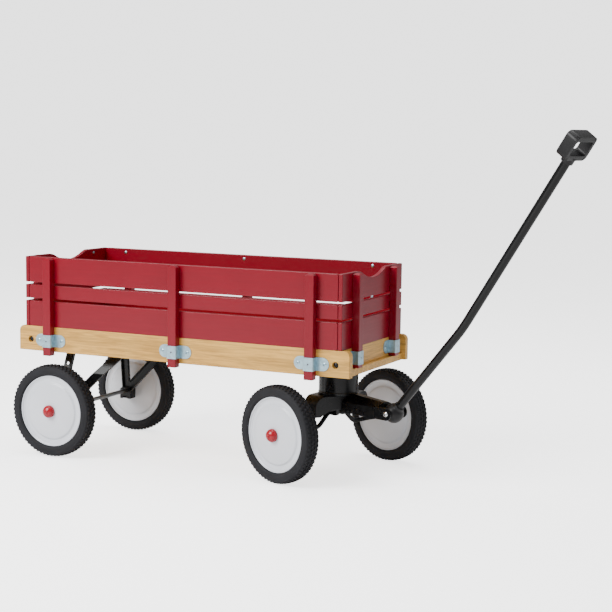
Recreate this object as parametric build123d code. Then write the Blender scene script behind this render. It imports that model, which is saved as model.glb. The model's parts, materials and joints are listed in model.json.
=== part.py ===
"""Children's pull wagon: a timber bed with lift-out stake panels, on four steel disc wheels.

The front wheels steer on a kingpin under the bed, and the pull handle hinges on a ball joint.

Millimetres. +X points forward, +Y to the wagon's left and +Z up. Heights are worked out from
the ground and the origin is moved at the end to the middle of the cargo deck's top face.
The front gear and the handle stand turned a little to the right, as the wagon is parked.
"""
from build123d import *
from math import acos, atan2, cos, hypot, radians, sin, tan
import os

# ---- overall sizes -------------------------------------------------------------------
bed_length = 1000.0          # over the side rails
bed_width = 386.0            # over the outer faces of the side rails
wheel_radius = 127.0
wheel_clearance = 31.0       # tops of the wheels to the bed's underside
axle_inset = 124.0           # rail end to the axle
tyre_outset = 13.5           # side rail's outer face to the middle of a tyre
steer_at_rest = -19.4        # degrees about the kingpin, negative to the wagon's right

# ---- timber bed ----------------------------------------------------------------------
rail_height = 68.0
rail_thickness = 19.0
rail_corner = 15.0           # rounding of the rails' top corners
floor_thickness = 19.5
floor_inset = 10.0           # rail end to floor edge
panel_inset = 22.0           # rail end to the outer face of the end boards and end panels
end_board_thickness = 33.0
floor_rebate = 2.0           # step in the floor's ends under the end boards
edge_round = 1.5             # sanded edges of the timber

# ---- lift-out panels -----------------------------------------------------------------
slat_thickness = 11.0
wide_slat = 70.0
narrow_slat = 37.0
slat_gap = 7.0
side_slat_corner = 5.0
end_slat_corner = 2.0
corner_gap = 1.0             # side slat's end to the end panel's inner face
scallop_half = 80.0          # half width of the dip in the end panels' top slats
scallop_depth = 21.5
scallop_blend = 60.0         # rounding where the dip runs out into the straight edge
stake_width = 25.0
stake_thickness = 20.0
stake_chamfer = 4.0
stake_foot_chamfer = 1.5
stake_below_top = 2.0        # stake's top under the top slat's edge
side_stake_drop = 9.0        # side stakes hang below the bed's underside
side_stake_inset = 104.0     # rail end to the outer side stakes
end_stake_inset = 73.0       # side rail's outer face to the end stakes
ledge_clearance = 0.5        # end stake's foot above the floor's ledge

# ---- stake brackets ------------------------------------------------------------------
strap_thickness = 1.8
strap_height = 34.0
strap_length = 97.0
strap_bend = 3.0
stake_clearance = 0.4        # all round a stake in its bracket
side_strap_rise = 31.0       # side bracket's middle above the bed's underside
end_strap_rise = 43.7        # the same on the end boards
ear_hole_inset = 11.5        # strap's end to its screw
strap_hole_radius = 2.0      # small hole in the middle of the strap

# ---- screws and bolts ----------------------------------------------------------------
fit = 0.05                   # radial clearance of a pin, screw or axle in its hole
wood_screw_radius = 2.0
wood_screw_head = 4.5
wood_screw_head_height = 2.4
bracket_screw_length = 14.0
slat_screw_length = 24.0
slat_screw_edge = 11.0       # screw to the edge of a wide slat
rail_bolt_radius = 3.0
rail_bolt_head = 7.2
rail_bolt_head_height = 3.0
rail_bolt_length = 52.0
rail_bolt_rise = 31.0        # bolt above the bed's underside
rail_bolt_recess = 6.0
rail_bolt_recess_radius = 8.75

# ---- wheels --------------------------------------------------------------------------
tyre_width = 46.0
tyre_crown = 33.4            # width of the tread
tyre_shoulder_drop = 4.5
rim_radius = 97.4
rim_width = 35.0
rim_seat_radius = 89.5
rim_roll = 1.9               # radius of the rim's rolled edge
sheet = 1.6                  # thickness of the pressed steel wheel
disc_edge = 12.5             # disc's outer surface at the rim, from the wheel's middle
disc_step_radius = 76.0      # raised ring pressed in the disc
disc_step = 3.5
drain_holes = 3              # in the inner disc, next to the rim
drain_radius = 2.0
hub_radius = 12.0
hub_half = 22.0              # wheel's middle to the hub tube's end
axle_radius = 6.0
hub_cap_radius = 17.0
hub_cap_length = 18.0
axle_end = 31.0              # wheel's middle to the axle's end, inside the cap
hub_cap_gap = 0.6            # cap to wheel, and wheel to spacer
nub_radius = 5.0
nub_length = 3.0
spacer_radius = 10.0
front_spacer_inset = 32.5    # wheel's middle to the inner end of a front spacer

# ---- rear gear -----------------------------------------------------------------------
brace_sheet = 2.5
brace_depth = 10.0           # depth of the pressed channel
brace_leg = 24.0             # width of a leg
brace_slope = 44.0           # degrees of the forward leg above level
brace_foot_inset = 43.5      # wheel's middle to the brace's foot
brace_knee_inset = 56.5
brace_top_inset = 80.5
brace_knee_drop = 57.0       # knee below the bed's underside
foot_width = 34.0
foot_outer_inset = 30.5      # wheel's middle to the outer side of the boxed foot
foot_inner_inset = 60.5
foot_below = 23.0            # boxed foot below and above the axle's middle
foot_above = 9.0
pad_length = 32.0            # bolted pads under the floor
pad_reach = 30.0
pad_bolt_inset = 94.5        # wheel's middle to the pads' bolts
spare_hole_rise = 20.0       # small hole in the upright leg, above the knee
spare_hole_radius = 4.0
brace_bolt_radius = 3.5
brace_bolt_head = 6.5
brace_bolt_head_height = 4.0
gear_bolt_length = 18.0

# ---- front gear ----------------------------------------------------------------------
axle_trail = 7.0             # front axle behind the kingpin
drum_radius = 52.0
drum_depth = 73.0            # fixed turntable's sole below the bed's underside
drum_bead = 1.2              # bead round the sole
drum_wall = 2.5
drum_flange = 18.0
drum_bolt_circle = 61.5
washer_thickness = 1.0
washer_radius = 46.0
kingpin_radius = 6.0
kingpin_head = 14.0
kingpin_head_height = 3.5
kingpin_recess = 4.0         # head sunk under the deck's face
kingpin_recess_radius = 16.0
kingpin_nut_height = 9.0
nut_across_flats = 19.0
bolster_radius = 50.0        # saddle's round middle under the turntable
bolster_half = 98.0
bolster_width = 44.0         # width of the arms' ends and of the ribs inside
bolster_shoulder = 28.0
bolster_arch_half = 55.0
bolster_foot = 12.0          # flat lower edge at each end of the skirt
bolster_skirt = 34.0         # depth of the skirt in the middle
bolster_rib = 42.5           # depth of the ribs in the middle
bolster_end_skirt = 53.0
hollow_below = 20.0          # how far a cutting shape runs past an open underside
axle_gap = 0.5               # axle under the ribs
axle_crank_in = 28.0
axle_crank_out = 66.0
axle_bend = 26.0
clamp_spacing = 28.0
clamp_width = 11.0
clamp_above = 8.0            # clamp's top above the ribs' lower edge
clamp_wall = 3.0             # clamp under the axle

# ---- yoke and handle -----------------------------------------------------------------
pivot_reach = 197.0          # kingpin to the handle's pivot
pivot_drop = 25.5            # pivot below the bolster's top
cheek_height = 32.0
yoke_sheet = 3.0
cheek_gap = 3.4              # ball to cheek, and ball to the hood's front edge
hood_ridge_half = 9.0        # half width of the flat along the hood's top
hood_eave_rear = 7.5         # heights above the pivot, over the kingpin and over the lobes' ends
hood_eave_front = 16.0
hood_ridge_rear = 36.0
hood_ridge_front = 21.0
turning_gap = 2.3            # hood to the fixed drum
ball_radius = 25.6
pin_radius = 4.0
pin_head = 7.0
pin_head_height = 3.0
tube_radius = 11.0
tube_wall = 1.6
handle_low_angle = 47.7      # degrees above level, up to the bend
handle_high_angle = 54.9
handle_low_length = 320.0
handle_length = 833.0        # pivot to the grip's foot, along the tube
handle_bend = 400.0
tube_socket = 12.0           # tube's foot from the pivot
grip_width = 80.0
grip_height = 64.0
grip_depth = 30.0
grip_hole_width = 62.0
grip_hole_height = 38.0
grip_foot_bar = 13.0
grip_corner = 14.0
grip_round = 3.5
grip_boss_radius = 15.0
grip_boss_length = 14.0
grip_socket = 8.0            # tube's end inside the grip's foot

# ---- worked out from the above ---------------------------------------------------------
bed_underside = 2 * wheel_radius + wheel_clearance
deck_top = bed_underside + floor_thickness
ledge_top = deck_top - floor_rebate
rail_top = bed_underside + rail_height
panel_top = rail_top + 2 * (wide_slat + slat_gap) + narrow_slat
rail_face = bed_width / 2
inner_half = rail_face - rail_thickness
end_face = bed_length / 2 - panel_inset
side_slat_half = end_face - slat_thickness - corner_gap
rear_axle_x = axle_inset - bed_length / 2
kingpin_x = axle_trail - rear_axle_x
wheel_y = rail_face + tyre_outset
brace_foot_bottom = wheel_radius - foot_below
foot_inner, foot_outer = wheel_y - foot_inner_inset, wheel_y - foot_outer_inset
front_spacer_plane = wheel_y - front_spacer_inset
drum_bottom = bed_underside - drum_depth
bolster_top = drum_bottom - washer_thickness
pivot_height = bolster_top - pivot_drop
axle_middle = bolster_top - bolster_rib - axle_gap - axle_radius
ears = strap_length / 2 - ear_hole_inset
slat_rows = [
    ("bottom", rail_top, wide_slat),
    ("middle", rail_top + wide_slat + slat_gap, narrow_slat),
    ("top", rail_top + wide_slat + narrow_slat + 2 * slat_gap, wide_slat),
]
side_stakes = [side_stake_inset - bed_length / 2, 0.0, bed_length / 2 - side_stake_inset]
end_stakes = [end_stake_inset - rail_face, rail_face - end_stake_inset]
steered = Pos(kingpin_x, 0, 0) * Rot(0, 0, steer_at_rest)


# ---- small helpers ---------------------------------------------------------------------
def block(x, y, z):
    """A box given by its two corners on each axis."""
    size = [span[1] - span[0] for span in (x, y, z)]
    middle = [(span[0] + span[1]) / 2 for span in (x, y, z)]
    return Pos(*middle) * Box(*size)


def bar(radius, start, end):
    """A round bar from one point to another."""
    run = Vector(*end) - Vector(*start)
    seat = Plane(origin=start, z_dir=run)
    return seat * Cylinder(radius, run.length, align=(Align.CENTER, Align.CENTER, Align.MIN))


def turned(points):
    """A solid of revolution about Z from (radius, height) corners."""
    return revolve(Plane.XZ * make_face(Polyline(*points, close=True)), Axis.Z)


def hexagon(across_flats, height):
    """A hexagonal head or nut standing on the XY plane."""
    return extrude(RegularPolygon(across_flats / 2, 6, major_radius=False), height)


def screw(radius, length, head, head_height):
    """A round-headed screw, its head's underside at the origin and its shank towards -Z."""
    dome = turned([(0, 0), (head, 0), (head * 0.86, head_height * 0.62), (head * 0.45, head_height),
                   (0, head_height)])
    return dome + Pos(0, 0, -length / 2) * Cylinder(radius, length)


def on_side(shape, side, x, z):
    """Turn a screw that points down so that it goes in from the outer face of a side rail."""
    return Pos(x, side * rail_face, z) * Rot(0, 0, 0 if side > 0 else 180) * Rot(-90, 0, 0) * shape


def on_end(shape, end, y, z):
    """The same for the outer face of an end board."""
    return Pos(end * end_face, y, z) * Rot(0, 0, 0 if end > 0 else 180) * Rot(0, 90, 0) * shape


def save(name, *solids):
    """Write one node, moved to the deck's middle, as a group of separate solids."""
    pieces = []
    for solid in solids:
        pieces += solid.solids()
    shape = pieces[0] if len(pieces) == 1 else Compound(pieces)
    shape = Pos(0, 0, -deck_top) * shape
    shape.label = name
    export_step(shape, f"parts/{name}.step")


# ---- timber bed --------------------------------------------------------------------------
def rail_bolt_places():
    """(end, height) of the recessed bolts that hold the end boards between the rails."""
    height = bed_underside + rail_bolt_rise
    return [(end * (end_face - end_board_thickness / 2), height) for end in (-1, 1)]


def rail_bolt_holes(side):
    """Counterbored holes through a rail and on into the end boards."""
    hole = Pos(0, 0, -rail_bolt_length / 2) * Cylinder(rail_bolt_radius + fit, rail_bolt_length + 2)
    recess = Pos(0, 0, -rail_bolt_recess / 2) * Cylinder(rail_bolt_recess_radius, rail_bolt_recess)
    return [on_side(hole + recess, side, x, z) for x, z in rail_bolt_places()]


def rail_bolts():
    sunk = Pos(0, 0, -rail_bolt_recess) * screw(
        rail_bolt_radius, rail_bolt_length - rail_bolt_recess, rail_bolt_head, rail_bolt_head_height)
    return [on_side(sunk, side, x, z) for side in (-1, 1) for x, z in rail_bolt_places()]


def bracket_screw_hole():
    return Pos(0, 0, -bracket_screw_length / 2) * Cylinder(
        wood_screw_radius + fit, bracket_screw_length + 2 * strap_thickness + 1)


def side_bracket_holes(side):
    height = bed_underside + side_strap_rise
    return [on_side(bracket_screw_hole(), side, x + ear, height)
            for x in side_stakes for ear in (-ears, ears)]


def end_bracket_holes(end):
    height = bed_underside + end_strap_rise
    return [on_end(bracket_screw_hole(), end, y + ear, height)
            for y in end_stakes for ear in (-ears, ears)]


def side_rail(side):
    """A side board with rounded top corners, drilled for its bolts and brackets."""
    half = bed_length / 2
    y = sorted((side * rail_face, side * inner_half))
    board = block((-half, half), y, (bed_underside, rail_top))
    board = fillet(board.edges().filter_by(Axis.Y).group_by(Axis.Z)[-1], rail_corner)
    outer = board.faces().sort_by(Axis.Y)[-1 if side > 0 else 0]
    board = fillet(outer.edges(), edge_round)
    return board - (rail_bolt_holes(side) + side_bracket_holes(side))


def end_board(end):
    """A cross board standing in the floor's rebate between the rails."""
    x = sorted((end * end_face, end * (end_face - end_board_thickness)))
    board = block(x, (-inner_half, inner_half), (ledge_top, rail_top))
    holes = rail_bolt_holes(-1) + rail_bolt_holes(1) + end_bracket_holes(end)
    return board - holes


def floor_holes():
    """Holes for the kingpin and for the bolts of the running gear."""
    middle = bed_underside + floor_thickness / 2
    kingpin_hole = Pos(kingpin_x, 0, middle) * Cylinder(kingpin_radius + fit, floor_thickness * 2)
    recess = Pos(kingpin_x, 0, deck_top) * Cylinder(kingpin_recess_radius, 2 * kingpin_recess)
    bolt_hole = Cylinder(brace_bolt_radius + fit, 2 * gear_bolt_length)
    bolts = [Pos(x, y, bed_underside) * bolt_hole for x, y in gear_bolt_places()]
    return [kingpin_hole, recess] + bolts


def floor_panel():
    """The deck board, with a rebate along each end for the end boards."""
    half, deck_half = bed_length / 2 - floor_inset, end_face - end_board_thickness
    board = block((-half, half), (-inner_half, inner_half), (bed_underside, ledge_top))
    board += block((-deck_half, deck_half), (-inner_half, inner_half), (bed_underside, deck_top))
    return board - floor_holes()


# ---- stake brackets ------------------------------------------------------------------------
def hat_strap():
    """A bent strap that holds a stake: flat ears on the face z = 0, the stake's box above it."""
    half = stake_width / 2 + stake_clearance
    deep = stake_thickness + stake_clearance
    outer = [(-strap_length / 2, 0), (strap_length / 2, 0), (strap_length / 2, strap_thickness),
             (half + strap_thickness, strap_thickness), (half + strap_thickness, deep + strap_thickness),
             (-half - strap_thickness, deep + strap_thickness), (-half - strap_thickness, strap_thickness),
             (-strap_length / 2, strap_thickness)]
    profile = make_face(Polyline(*outer, close=True)) - Pos(0, deep / 2) * Rectangle(2 * half, deep)
    bends = [v for v in profile.vertices() if abs(v.Y - deep - strap_thickness) < 0.01]
    profile = fillet(bends, strap_bend)
    strap = extrude(Plane.XZ * profile, strap_height / 2, both=True)
    ends = extrude(SlotOverall(strap_length, strap_height), deep * 2)
    holes = [Pos(ear, 0, strap_thickness / 2) * Cylinder(wood_screw_radius + fit, strap_thickness * 2)
             for ear in (-ears, ears)]
    middle = Pos(0, 0, deep + strap_thickness / 2) * Cylinder(strap_hole_radius, 2 * strap_thickness)
    return (strap & ends) - holes - middle


def brackets():
    side_height, end_height = bed_underside + side_strap_rise, bed_underside + end_strap_rise
    strap = hat_strap()
    straps = [on_side(strap, side, x, side_height) for side in (-1, 1) for x in side_stakes]
    straps += [on_end(Rot(0, 0, 90) * strap, end, y, end_height) for end in (-1, 1) for y in end_stakes]
    return straps


def bracket_screws():
    side_height, end_height = bed_underside + side_strap_rise, bed_underside + end_strap_rise
    piece = Pos(0, 0, strap_thickness) * screw(
        wood_screw_radius, bracket_screw_length, wood_screw_head, wood_screw_head_height)
    screws = [on_side(piece, side, x + ear, side_height)
              for side in (-1, 1) for x in side_stakes for ear in (-ears, ears)]
    screws += [on_end(piece, end, y + ear, end_height)
               for end in (-1, 1) for y in end_stakes for ear in (-ears, ears)]
    return screws


# ---- lift-out panels, built lying along X with the outer face at y = 0 ---------------------
def screw_rows():
    """Heights of the screws in each slat."""
    rows = []
    for name, foot, height in slat_rows:
        if height > narrow_slat:
            rows += [foot + slat_screw_edge, foot + height - slat_screw_edge]
        else:
            rows.append(foot + height / 2)
    return rows


def slat_screw_places(stakes):
    return [(x, z) for x in stakes for z in screw_rows()]


def slat_screw(x, z, loose):
    """A screw driven from the panel's inner face through the slat into the stake."""
    piece = screw(wood_screw_radius + loose, slat_screw_length, wood_screw_head, wood_screw_head_height)
    return Pos(x, -slat_thickness, z) * Rot(90, 0, 0) * piece


def slat(half_length, foot, height, stakes, dipped):
    """One board of a panel with sanded edges; the end panels' top board has the dip."""
    on_end_panel = stakes is end_stakes
    corner = end_slat_corner if on_end_panel else side_slat_corner
    outline = RectangleRounded(2 * half_length, height, corner)
    if dipped:
        outline = outline - Pos(0, height / 2) * dip()
    board = extrude(Plane.XZ * (Pos(0, foot + height / 2) * outline), slat_thickness)
    board = Pos(0, -slat_thickness, 0) * board if board.center().Y > 0 else board
    board = fillet(board.edges() - board.edges().filter_by(Axis.Y), edge_round)
    holes = [slat_screw(x, z, fit) for x, z in slat_screw_places(stakes) if foot < z < foot + height]
    return board - holes


def dip():
    """The scooped top edge: a shallow arc that runs out through a rounded lip each side."""
    radius = (scallop_half ** 2 + scallop_depth ** 2) / (2 * scallop_depth)
    scoop = Pos(0, radius - scallop_depth) * Circle(radius)
    above = Pos(0, scallop_depth) * Rectangle(6 * scallop_half, 2 * scallop_depth)
    cut = scoop + above
    lips = [v for v in cut.vertices() if abs(abs(v.X) - scallop_half) < 1 and abs(v.Y) < 1]
    return fillet(lips, scallop_blend)


def stake(x, foot):
    post = block((x - stake_width / 2, x + stake_width / 2), (0, stake_thickness),
                 (foot, panel_top - stake_below_top))
    post = chamfer(post.faces().sort_by(Axis.Z)[-1].edges(), stake_chamfer)
    post = chamfer(post.faces().sort_by(Axis.Z)[0].edges(), stake_foot_chamfer)
    uprights = post.edges().filter_by(Axis.Z)
    return fillet(uprights, edge_round)


def panel(half_length, stakes, foot, dipped):
    """Slats, stakes and screws of one panel: a dictionary of nodes and their solids."""
    nodes = {}
    for name, low, height in slat_rows:
        nodes["slat_" + name] = [slat(half_length, low, height, stakes, dipped and name == "top")]
    holes = [slat_screw(x, z, fit) for x, z in slat_screw_places(stakes)]
    nodes["stakes"] = [stake(x, foot) - [hole for hole in holes if abs(hole.center().X - x) < 1]
                       for x in stakes]
    nodes["screws"] = [slat_screw(x, z, 0) for x, z in slat_screw_places(stakes)]
    return nodes


def save_panels():
    side = panel(side_slat_half, side_stakes, bed_underside - side_stake_drop, False)
    end = panel(rail_face, end_stakes, ledge_top + ledge_clearance, True)
    places = {
        "left_panel": (side, Pos(0, rail_face, 0)),
        "right_panel": (side, Pos(0, -rail_face, 0) * Rot(0, 0, 180)),
        "front_panel": (end, Pos(end_face, 0, 0) * Rot(0, 0, -90)),
        "rear_panel": (end, Pos(-end_face, 0, 0) * Rot(0, 0, 90)),
    }
    for panel_name, (nodes, place) in places.items():
        for node, solids in nodes.items():
            save(f"{panel_name}_{node}", *[place * solid for solid in solids])


# ---- wheels, built with the axle along Z and the outer side up -------------------------------
def section(*points):
    """One closed (radius, height) outline of a solid of revolution."""
    return make_face(Polyline(*points, close=True))


def tyre():
    """A solid rubber tyre with its bead between the rim's rolled edges."""
    bead = rim_width / 2 - 2 * rim_roll - fit
    wall = rim_radius + fit
    foot, side = (wall + 1.5, rim_width / 2 + 0.5), (wall + 13, tyre_width / 2)
    shoulder = (wheel_radius - tyre_shoulder_drop, tyre_crown / 2)
    seat = rim_seat_radius + fit
    upper = [Line((seat, 0), (seat, bead)), Line((seat, bead), (wall, bead)),
             Line((wall, bead), foot), ThreePointArc(foot, side, shoulder),
             ThreePointArc(shoulder, (wheel_radius - 1.1, tyre_crown / 4), (wheel_radius, 0))]
    half = make_face(upper + [Line((wheel_radius, 0), (seat, 0))])
    return revolve(Plane.XZ * (half + mirror(half, Plane.XZ)), Axis.Z)


def disc_outline():
    """(radius, height) points of a pressed disc's outer surface, from the rim to the hub."""
    return [
        (rim_seat_radius - sheet, disc_edge),
        (disc_step_radius + disc_step, disc_edge),
        (disc_step_radius, disc_edge + disc_step),
        (disc_step_radius * 0.75, hub_half - 4.0),
        (disc_step_radius * 0.50, hub_half - 1.6),
        (disc_step_radius * 0.25, hub_half - 0.3),
        (hub_radius, hub_half),
    ]


def disc():
    """Two pressed discs welded to a channel rim and a hub tube."""
    flange = rim_width / 2 - 2 * rim_roll
    roll_r, roll_z = rim_radius - rim_roll, rim_width / 2 - rim_roll
    outer = disc_outline()
    shell = section(*outer, *[(r, z - sheet) for r, z in reversed(outer)])
    edge = section((rim_seat_radius - sheet, flange), (roll_r, flange),
                   (roll_r, flange + sheet), (rim_seat_radius - sheet, flange + sheet))
    half = shell + edge + Pos(roll_r, roll_z) * Circle(rim_roll)
    seat = section((rim_seat_radius - sheet, -flange - sheet), (rim_seat_radius, -flange - sheet),
                   (rim_seat_radius, flange + sheet), (rim_seat_radius - sheet, flange + sheet))
    bore = axle_radius + fit
    hub = section((bore, -hub_half), (hub_radius, -hub_half), (hub_radius, hub_half), (bore, hub_half))
    whole = revolve(Plane.XZ * (half + mirror(half, Plane.XZ) + seat + hub), Axis.Z)
    drains = PolarLocations(disc_step_radius + disc_step + 4, drain_holes)
    return whole - [place * Pos(0, 0, -disc_edge) * Cylinder(drain_radius, 4 * sheet) for place in drains]


def hub_cap():
    """A domed push-on cap over the axle's end."""
    foot, top = hub_half + hub_cap_gap, hub_half + hub_cap_length
    end = axle_end + fit
    return turned([
        (axle_radius + fit, foot), (hub_cap_radius, foot), (hub_cap_radius, foot + 6),
        (hub_cap_radius * 0.94, foot + 10.5), (hub_cap_radius * 0.74, foot + 14.5),
        (hub_cap_radius * 0.46, foot + 17), (nub_radius, top - 0.8),
        (nub_radius * 0.9, top + nub_length - 0.8),
        (nub_radius * 0.5, top + nub_length), (0, top + nub_length), (0, end), (axle_radius + fit, end)])


def spacer(inner_plane):
    """A washer on the axle from the given distance off the wagon's middle up to the wheel."""
    length = wheel_y - hub_half - hub_cap_gap - inner_plane
    ring = Cylinder(spacer_radius, length) - Cylinder(axle_radius + fit, length * 2)
    return Pos(0, 0, -hub_half - hub_cap_gap - length / 2) * ring


def at_wheel(shape, side):
    """Stand a wheel part on its axle, on the left (+1) or the right (-1)."""
    return Pos(0, side * wheel_y, wheel_radius) * Rot(-90 * side, 0, 0) * shape


def save_wheels():
    rear, front = Pos(rear_axle_x, 0, 0), steered * Pos(-axle_trail, 0, 0)
    pieces = {"tyre": tyre(), "disc": disc(), "hub_cap": hub_cap()}
    for end, place in (("rear", rear), ("front", front)):
        for side_name, side in (("left", 1), ("right", -1)):
            for name, shape in pieces.items():
                save(f"wheel_{end}_{side_name}_{name}", place * at_wheel(shape, side))
    for end, place, plane in (("rear", rear, foot_outer), ("front", front, front_spacer_plane)):
        save(f"wheel_spacers_{end}", *[place * at_wheel(spacer(plane), side) for side in (-1, 1)])


# ---- rear gear ---------------------------------------------------------------------------
def brace_top_x():
    """Where the forward leg's middle line meets the bed's underside."""
    rise = bed_underside - wheel_radius
    return rear_axle_x + rise / tan(radians(brace_slope))


def gear_bolt_places():
    """Bolts of the braces' pads and of the turntable's flange, all under the floor."""
    pads = [(x, side * (wheel_y - pad_bolt_inset))
            for side in (-1, 1) for x in (rear_axle_x, brace_top_x())]
    ring = [(kingpin_x + drum_bolt_circle * cos(radians(a)), drum_bolt_circle * sin(radians(a)))
            for a in (45, 135, 225, 315)]
    return pads + ring


def brace_outline():
    """The two legs of a brace seen from the side, as a flat outline."""
    top = bed_underside - brace_foot_bottom
    upright = Pos(rear_axle_x, brace_foot_bottom + top / 2) * Rectangle(brace_leg, top)
    length = (bed_underside - wheel_radius) / sin(radians(brace_slope)) + brace_leg
    leg = Rectangle(length, brace_leg, align=(Align.MIN, Align.CENTER))
    leg = Pos(rear_axle_x, wheel_radius) * Rot(0, 0, brace_slope) * leg
    below = Pos(0, bed_underside - 500) * Rectangle(2 * bed_length, 1000)
    return (upright + leg + Pos(rear_axle_x, wheel_radius) * Circle(brace_leg / 2)) & below


def bent_band(depth):
    """The brace's bend seen from behind, as a solid band across the wagon, on the left."""
    line = [(wheel_y - brace_foot_inset, brace_foot_bottom - 1),
            (wheel_y - brace_knee_inset, bed_underside - brace_knee_drop),
            (wheel_y - brace_top_inset, bed_underside + 1)]
    inner = [(y - depth, z) for y, z in line]
    face = make_face(Polyline(*line, *reversed(inner), close=True))
    return extrude(Plane.YZ * face, bed_length, both=True)


def brace_pad(x):
    """A flange turned in at the top of a leg and bolted under the floor."""
    outer = wheel_y - brace_top_inset + brace_sheet
    low = bed_underside - brace_sheet
    pad = block((x - pad_length / 2, x + pad_length / 2), (outer - pad_reach, outer), (low, bed_underside))
    return fillet(pad.edges().filter_by(Axis.Z), 5)


def brace_foot():
    """The boxed bracket at the bottom of a brace that carries the axle."""
    x = (rear_axle_x - foot_width / 2, rear_axle_x + foot_width / 2)
    inside = (x[0] + brace_sheet, x[1] - brace_sheet)
    foot_top = wheel_radius + foot_above
    box = block(x, (foot_inner, foot_outer), (brace_foot_bottom, foot_top))
    hollow = block(inside, (foot_inner + brace_sheet, foot_outer - brace_sheet),
                   (brace_foot_bottom - 1, foot_top - brace_sheet))
    arch = block((rear_axle_x - foot_width / 4, rear_axle_x + foot_width / 4),
                 (foot_inner - 1, foot_outer + 1), (brace_foot_bottom - 1, brace_foot_bottom + 7))
    return fillet(box.edges().filter_by(Axis.Y).group_by(Axis.Z)[-1], 6) - hollow - arch


def rear_brace(side):
    """A pressed steel channel bent into a V, with a foot for the axle and pads for the bolts."""
    outline = brace_outline()
    ring = outline - offset(outline, -brace_sheet)
    web = extrude(Plane.XZ * outline, rail_face, both=True) & bent_band(brace_sheet)
    lips = extrude(Plane.XZ * ring, rail_face, both=True) & bent_band(brace_depth)
    body = web + lips + brace_pad(rear_axle_x) + brace_pad(brace_top_x()) + brace_foot()
    foot_y = wheel_y - brace_foot_inset
    axle = Pos(rear_axle_x, foot_y, wheel_radius) * Rot(90, 0, 0) * Cylinder(axle_radius + fit, 100)
    holes = [Pos(x, y, bed_underside) * Cylinder(brace_bolt_radius + fit, 3 * brace_sheet)
             for x, y in gear_bolt_places()[:4]]
    spare_height = bed_underside - brace_knee_drop + spare_hole_rise
    spare = Pos(rear_axle_x, foot_y, spare_height) * Rot(90, 0, 0) * Cylinder(spare_hole_radius, 90)
    body = body - axle - spare
    return (body if side > 0 else mirror(body, Plane.XZ)) - holes


def gear_bolts():
    """Hexagon-headed screws driven up into the floor."""
    shank = Pos(0, 0, gear_bolt_length / 2) * Cylinder(brace_bolt_radius, gear_bolt_length)
    head = Pos(0, 0, -brace_bolt_head_height) * hexagon(2 * brace_bolt_head, brace_bolt_head_height)
    return [Pos(x, y, bed_underside - brace_sheet) * (shank + head) for x, y in gear_bolt_places()]


def rear_axle():
    end = wheel_y + axle_end
    return bar(axle_radius, (rear_axle_x, -end, wheel_radius), (rear_axle_x, end, wheel_radius))


# ---- front gear, built about the kingpin at x = 0 and pointing straight ahead ------------------
def turntable_cup():
    """The fixed drum under the bed: a sole, a wall with a bead round its foot, and a flange."""
    r, z0, z1 = drum_radius, drum_bottom, bed_underside
    t, bead = drum_wall, drum_radius + drum_bead
    return turned([
        (kingpin_radius + fit, z0), (bead, z0), (bead, z0 + 5), (r, z0 + 6.5), (r, z1 - t),
        (r + drum_flange, z1 - t), (r + drum_flange, z1), (r - t, z1), (r - t, z0 + t),
        (kingpin_radius + fit, z0 + t)])


def cup_bolt_holes():
    return [Pos(x - kingpin_x, y, bed_underside) * Cylinder(brace_bolt_radius + fit, 4 * drum_wall)
            for x, y in gear_bolt_places()[4:]]


def thrust_washer():
    ring = Cylinder(washer_radius, washer_thickness) - Cylinder(kingpin_radius + fit, 2)
    return Pos(0, 0, drum_bottom - washer_thickness / 2) * ring


def kingpin():
    """A dome-headed bolt sunk in the deck, down through the turntable, and its nut."""
    plate, head = bolster_top - brace_sheet, deck_top - kingpin_recess
    low = plate - kingpin_nut_height - 5
    bolt = Pos(0, 0, head) * screw(kingpin_radius, head - low, kingpin_head, kingpin_head_height)
    nut = hexagon(nut_across_flats, kingpin_nut_height) - Cylinder(kingpin_radius + fit, 40)
    return bolt, Pos(0, 0, plate - kingpin_nut_height - 0.2) * nut


def bolster_profile(inset, middle_depth, deeper):
    """The bolster seen from the front: flat top, rounded shoulders and an arched lower edge."""
    half, top = bolster_half - inset, bolster_top - inset
    end, middle = bolster_top - bolster_end_skirt - deeper, bolster_top - middle_depth - deeper
    corners = [(-half, end), (-half, top), (half, top), (half, end), (half - bolster_foot, end),
               (bolster_arch_half, middle), (-bolster_arch_half, middle), (bolster_foot - half, end)]
    face = make_face(Polyline(*corners, close=True))
    shoulders = [v for v in face.vertices() if abs(v.Y - top) < 0.01]
    return fillet(shoulders, bolster_shoulder - inset)


def rib_block(inset, deeper):
    """A straight box-shaped arch as wide as the arms' ends, or its hollow."""
    face = Plane.YZ * bolster_profile(inset, bolster_rib, deeper)
    return Pos(-axle_trail, 0, 0) * extrude(face, bolster_width / 2 - inset, both=True)


def saddle_plan():
    """The bolster from above: a round middle that tapers to the two arms' ends."""
    corners = []
    y = bolster_half
    for x in (bolster_width / 2 - axle_trail, -bolster_width / 2 - axle_trail):
        swing = acos(bolster_radius / hypot(x, y)) * (-1 if x > 0 else 1)
        tangent = atan2(y, x) + swing
        touch = (bolster_radius * cos(tangent), bolster_radius * sin(tangent))
        corners += [touch, (x, y)] if x > 0 else [(x, y), touch]
    corners += [(x, -y) for x, y in reversed(corners)]
    return make_face(Polyline(*corners, close=True)) + Circle(bolster_radius)


def saddle_block(inset, deeper):
    """The saddle as a solid block, or its hollow when inset by the sheet's thickness."""
    profile = Plane.YZ * bolster_profile(inset, bolster_skirt, deeper)
    plan = saddle_plan() if inset == 0 else offset(saddle_plan(), -inset)
    return extrude(profile, 2 * bolster_radius, both=True) & extrude(plan, bolster_top)


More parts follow.
